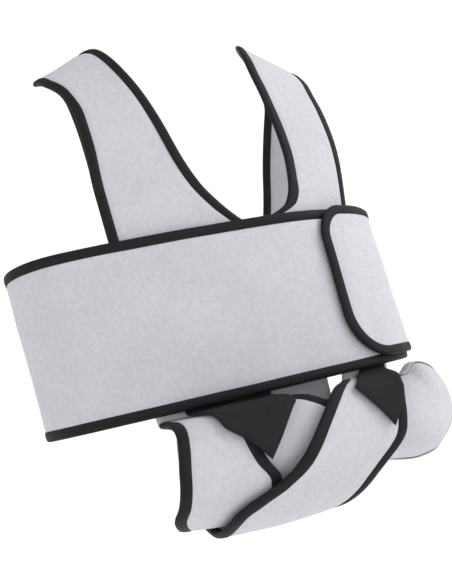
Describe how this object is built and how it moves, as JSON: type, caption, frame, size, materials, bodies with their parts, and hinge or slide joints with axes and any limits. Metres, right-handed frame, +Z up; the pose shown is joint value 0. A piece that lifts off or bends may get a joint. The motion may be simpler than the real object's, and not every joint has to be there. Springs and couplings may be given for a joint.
{
  "type": "arm sling",
  "caption": "Vest-style arm sling: wide band round torso and upper arm, shoulder straps with hook tabs, and a pouch, cuff and wrap that carry the forearm across the waist.",
  "frame": {"origin": "midway between the shoulders on the wearer's middle plane, at the level where the straps rest on the shoulders", "axes": "+Z up, the wearer faces -Y, +X towards the wearer's left"},
  "size_m": [0.3825, 0.2494, 0.4675],
  "materials": {
    "grey_cloth": "brushed loop cloth over foam, matte",
    "black_tape": "woven edge tape, matte",
    "dark_hook": "woven hook tape, matte"
  },
  "bodies": {
    "vest": {"chest_band_panel": "grey_cloth", "chest_band_top_binding": "black_tape", "chest_band_bottom_binding": "black_tape", "chest_band_front_end_binding": "black_tape", "chest_band_side_end_binding": "black_tape", "right_strap_panel": "grey_cloth", "right_strap_neck_binding": "black_tape", "right_strap_arm_binding": "black_tape", "left_strap_panel": "grey_cloth", "left_strap_neck_binding": "black_tape", "left_strap_arm_binding": "black_tape", "pouch_front_panel": "grey_cloth", "pouch_back_panel": "grey_cloth", "pouch_hanger": "grey_cloth", "pouch_opening_binding": "black_tape", "pouch_seam_tape": "grey_cloth", "elbow_cuff_panel": "grey_cloth", "elbow_cuff_opening_binding": "black_tape", "elbow_cuff_front_binding": "black_tape", "forearm_wrap_panel": "grey_cloth", "forearm_wrap_leading_binding": "black_tape", "forearm_wrap_wrist_binding": "black_tape", "elbow_tab_anchor": "dark_hook", "wrist_tab_anchor": "dark_hook"},
    "closure_flap": {"closure_flap_panel": "grey_cloth", "closure_flap_binding": "black_tape", "closure_flap_hook_patch": "dark_hook"},
    "right_strap_tab": {"right_strap_back_tab": "dark_hook", "right_strap_hook_patch": "dark_hook"},
    "left_strap_tab": {"left_strap_back_tab": "dark_hook", "left_strap_hook_patch": "dark_hook"},
    "elbow_tab_end": {"elbow_tab": "dark_hook", "elbow_tab_hook_patch": "dark_hook"},
    "wrist_tab_end": {"wrist_tab": "dark_hook", "wrist_tab_hook_patch": "dark_hook"}
  },
  "joints": [
    {"name": "closure_flap_fold", "type": "hinge", "parent": "vest", "child": "closure_flap", "pos_m": [0.16923, 0.04379, -0.257], "axis": [-0.0984, 0.0378, 0.9944], "range_deg": [0, 100]},
    {"name": "right_strap_tab_fold", "type": "hinge", "parent": "vest", "child": "right_strap_tab", "pos_m": [-0.03921, 0.09355, -0.17703], "axis": [0.9773, 0.2117, 0.0003], "range_deg": [0, 90]},
    {"name": "left_strap_tab_fold", "type": "hinge", "parent": "vest", "child": "left_strap_tab", "pos_m": [0.12716, 0.08032, -0.17698], "axis": [0.8199, -0.5725, 0.0009], "range_deg": [0, 90]},
    {"name": "elbow_tab_fold", "type": "hinge", "parent": "vest", "child": "elbow_tab_end", "pos_m": [-0.04201, -0.08836, -0.33806], "axis": [-0.983, 0.1834, -0.0003], "range_deg": [0, 75]},
    {"name": "wrist_tab_fold", "type": "hinge", "parent": "vest", "child": "wrist_tab_end", "pos_m": [0.09004, -0.09404, -0.33925], "axis": [-0.9781, -0.2077, 0.0153], "range_deg": [0, 75]}
  ]
}
